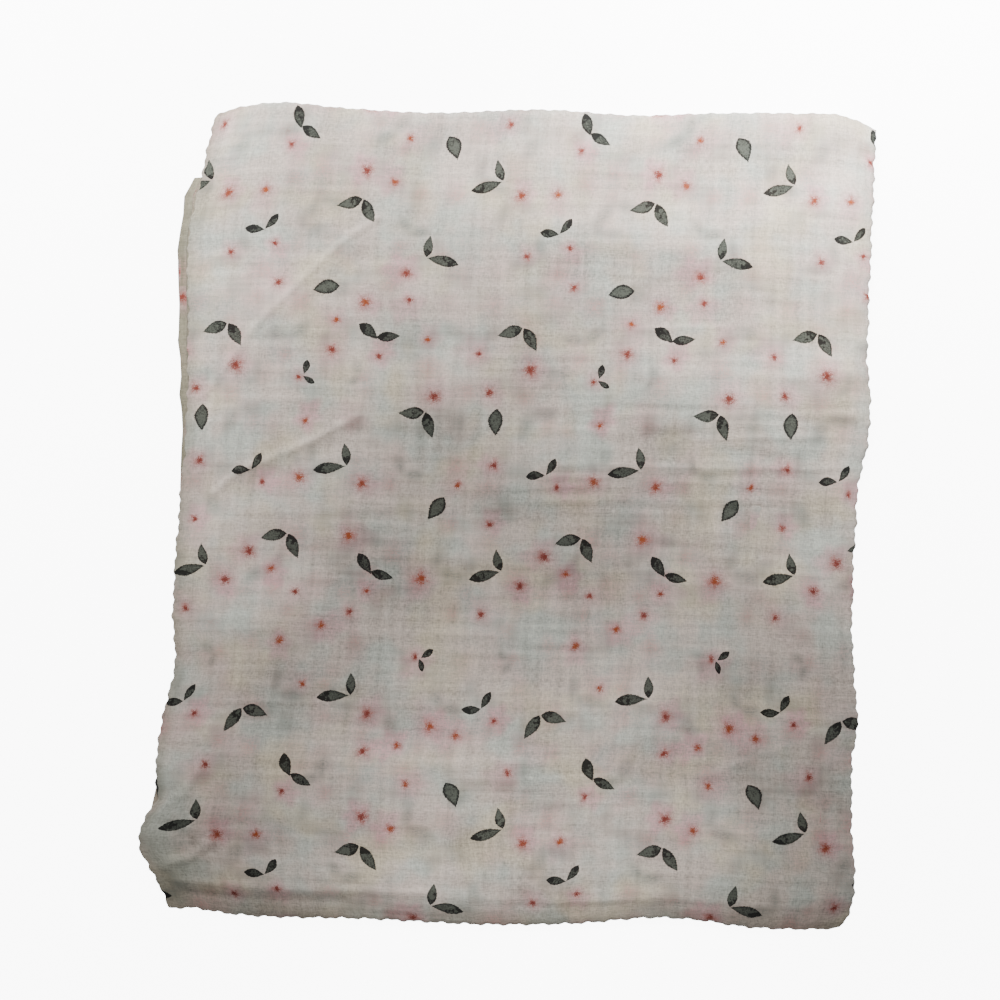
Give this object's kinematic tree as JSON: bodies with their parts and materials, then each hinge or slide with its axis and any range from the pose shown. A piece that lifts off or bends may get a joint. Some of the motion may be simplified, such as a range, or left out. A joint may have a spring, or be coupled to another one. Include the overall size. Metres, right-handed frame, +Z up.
{
  "type": "folded swaddle blanket",
  "caption": "Baby swaddle blanket of printed crinkled muslin, folded flat in three each way into an uneven soft rectangle.",
  "frame": {"origin": "under the middle of the folded blanket's outline, on the surface it rests on", "axes": "+Z up off the resting surface, +Y towards the upper edge of the middle panel, +X to its right"},
  "size_m": [0.3646, 0.4098, 0.0131],
  "materials": {
    "muslin": "soft crinkled double gauze, printed with small leaves and flowers"
  },
  "bodies": {
    "root": {"blanket": "muslin"}
  },
  "joints": []
}
